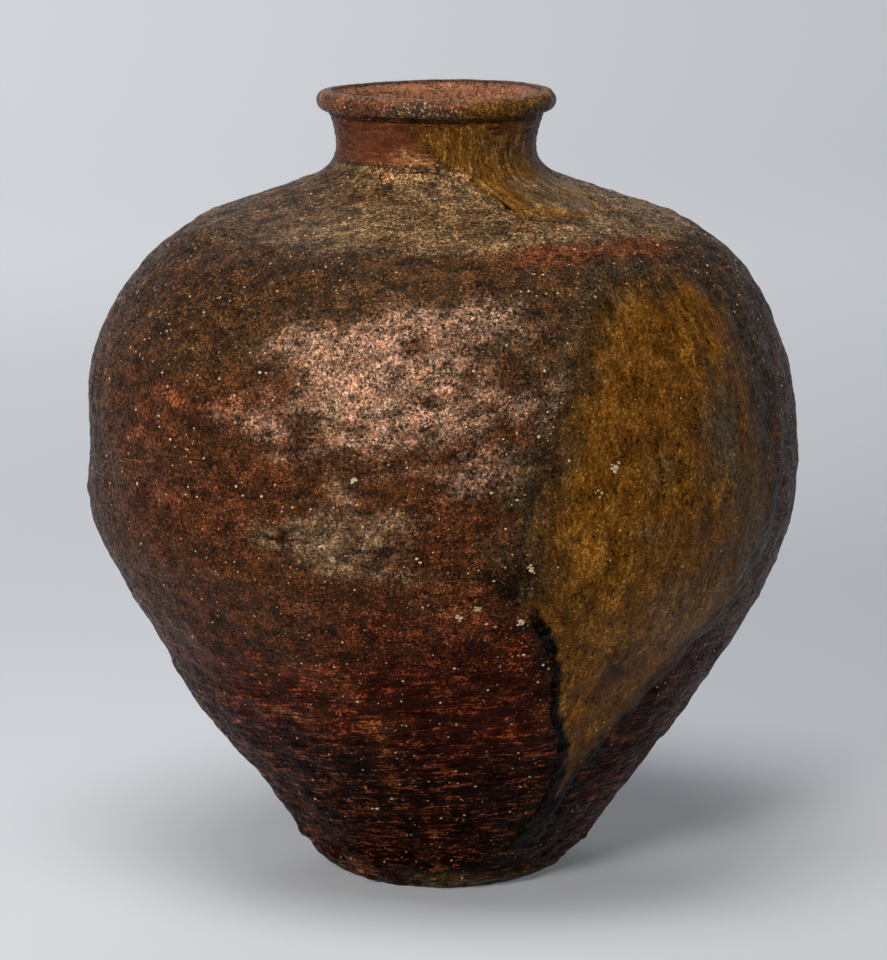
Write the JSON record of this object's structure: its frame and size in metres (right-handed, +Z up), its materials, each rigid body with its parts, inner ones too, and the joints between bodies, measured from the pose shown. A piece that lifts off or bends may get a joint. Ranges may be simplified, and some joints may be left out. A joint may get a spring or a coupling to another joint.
{
  "type": "storage jar",
  "caption": "Coil-built stoneware storage jar with a swelling belly, round shoulder, short neck, rolled rim and small flat foot, under a run of natural ash glaze.",
  "frame": {"origin": "centre of the flat underside that the jar stands on, at floor level", "axes": "+Z up along the jar's axis; -Y is the front, the side that the picture shows"},
  "size_m": [0.4224, 0.421, 0.4699],
  "materials": {
    "foot_clay": "dry, torn edge",
    "red_brown_clay": "scraped, satin",
    "copper_brown_clay": "gritty, sheen on the grains",
    "ash_brown_clay": "gritty, thin ash",
    "pink_brown_clay": "smooth, satin",
    "ash_glaze": "gloss, olive to amber, black in the runs"
  },
  "bodies": {
    "root": {"base_disc": "foot_clay", "foot_wall": "red_brown_clay", "lower_wall": "red_brown_clay", "belly_wall": "copper_brown_clay", "upper_wall": "ash_brown_clay", "shoulder_wall": "ash_brown_clay", "neck_wall": "pink_brown_clay", "rim_roll": "pink_brown_clay", "glaze_sheet": "ash_glaze", "glaze_collar": "ash_glaze"}
  },
  "joints": []
}
